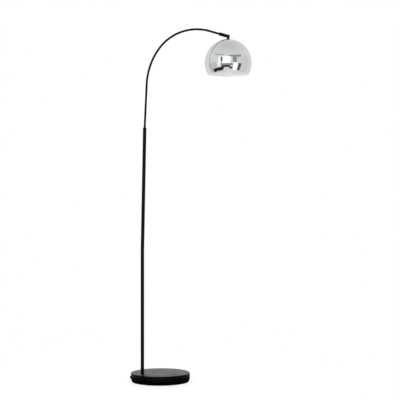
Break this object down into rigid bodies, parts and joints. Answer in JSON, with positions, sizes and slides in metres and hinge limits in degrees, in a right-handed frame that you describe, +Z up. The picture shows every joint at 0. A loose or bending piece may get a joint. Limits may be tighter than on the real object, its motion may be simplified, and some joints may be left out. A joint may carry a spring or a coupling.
{
  "type": "arc floor lamp",
  "caption": "Arc floor lamp with a weighted disc base, slim two-part pole, bent arm and a tilting chrome ball shade that is open below.",
  "frame": {"origin": "centre of the base on the floor, at the underside of the centre foot", "axes": "+Z up, +X from the base towards the shade, +Y to complete a right-handed frame"},
  "size_m": [0.5163, 0.25, 1.496],
  "materials": {
    "black_paint": "satin",
    "chrome": "polished",
    "cement": "matte",
    "steel": "satin",
    "brass": "satin",
    "rubber": "matte",
    "black_plastic": "satin",
    "white_plastic": "gloss",
    "opal_plastic": "satin",
    "ceramic": "matte",
    "cable": "matte",
    "brown_core": "matte",
    "blue_core": "matte",
    "circuit_board": "satin"
  },
  "bodies": {
    "stand": {"arc_tube": "black_paint", "base_cover": "black_paint", "base_plate": "black_paint", "base_stud": "steel", "base_weight": "cement", "cable_gland": "black_plastic", "centre_foot": "rubber", "collar_grub_screw": "steel", "core_live": "brown_core", "core_neutral": "blue_core", "foot_1": "rubber", "foot_2": "rubber", "foot_3": "rubber", "foot_4": "rubber", "foot_5": "rubber", "foot_6": "rubber", "friction_washer_left": "rubber", "friction_washer_right": "rubber", "gland_nut": "black_plastic", "knuckle_screw_left": "black_paint", "knuckle_screw_right": "black_paint", "knuckle_sleeve": "black_paint", "lamp_lead": "cable", "lower_top_insert": "steel", "plate_screw_1": "steel", "plate_screw_2": "steel", "plate_screw_3": "steel", "pole_foot_insert": "steel", "pole_joiner": "steel", "pole_lower_tube": "black_paint", "pole_top_collar": "black_paint", "pole_upper_tube": "black_paint", "sleeve_grub_screw": "steel", "stud_nut": "steel", "stud_washer": "steel", "terminal_block": "white_plastic", "terminal_screw_1": "brass", "terminal_screw_2": "brass", "upper_bottom_insert": "steel"},
    "head": {"shade_stem": "black_paint", "shade": "chrome", "shade_washer": "steel", "shade_nut": "steel", "lampholder_cap": "black_plastic", "lampholder_body": "black_plastic", "lampholder_insert": "ceramic", "contact_centre": "brass", "contact_side": "brass", "screw_shell": "brass", "head_lead": "cable", "bulb_cap": "steel", "bulb_housing": "white_plastic", "bulb_globe": "opal_plastic", "led_board": "circuit_board"}
  },
  "joints": [
    {"name": "shade_tilt", "type": "hinge", "parent": "stand", "child": "head", "pos_m": [0.28727, 0, 1.46151], "axis": [0, 1, 0], "range_deg": [-45, 25]}
  ]
}
